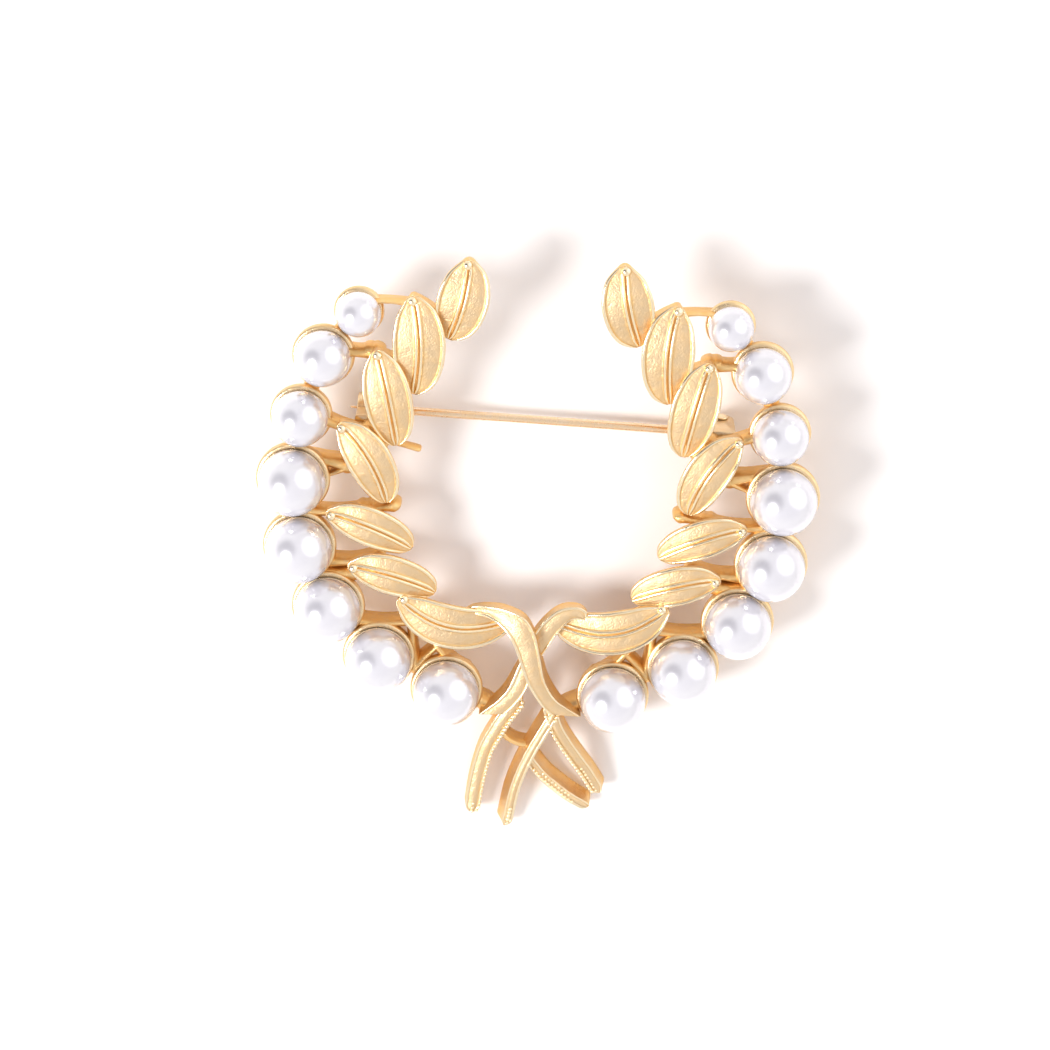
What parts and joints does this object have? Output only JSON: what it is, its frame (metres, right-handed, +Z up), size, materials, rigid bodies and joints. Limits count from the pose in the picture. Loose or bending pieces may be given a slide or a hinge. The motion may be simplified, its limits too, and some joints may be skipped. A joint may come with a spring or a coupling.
{
  "type": "wreath brooch",
  "caption": "Open wreath brooch: gold-toned leaves inside a curve of pearls, closed below by a crossed ribbon with four tails, and a hinged pin stem with a hook catch on the back.",
  "frame": {"origin": "middle of the bounding box in X and Y, on the surface that the brooch lies on", "axes": "+Z up, away from the surface, with the front of the brooch up; +Y from the ribbon tails to the open top; +X to the right as seen from the front"},
  "size_m": [0.0504, 0.0542, 0.0115],
  "materials": {
    "cast_gold": "satin pale gold plate with bright rims",
    "pin_gold": "smooth plated wire",
    "pearl": "pearl coat"
  },
  "bodies": {
    "wreath": {"cast_frame": "cast_gold", "hinge_rivet": "pin_gold", "pearl_left_1": "pearl", "pearl_left_2": "pearl", "pearl_left_3": "pearl", "pearl_left_4": "pearl", "pearl_left_5": "pearl", "pearl_left_6": "pearl", "pearl_left_7": "pearl", "pearl_left_8": "pearl", "pearl_right_1": "pearl", "pearl_right_2": "pearl", "pearl_right_3": "pearl", "pearl_right_4": "pearl", "pearl_right_5": "pearl", "pearl_right_6": "pearl", "pearl_right_7": "pearl", "pearl_right_8": "pearl"},
    "pin": {"pin_stem": "pin_gold"}
  },
  "joints": [
    {"name": "pin_hinge", "type": "hinge", "parent": "wreath", "child": "pin", "pos_m": [0.0162, 0.01104, 0.00138], "axis": [-0.0337, -0.9905, -0.1333], "range_deg": [0, 100]}
  ]
}
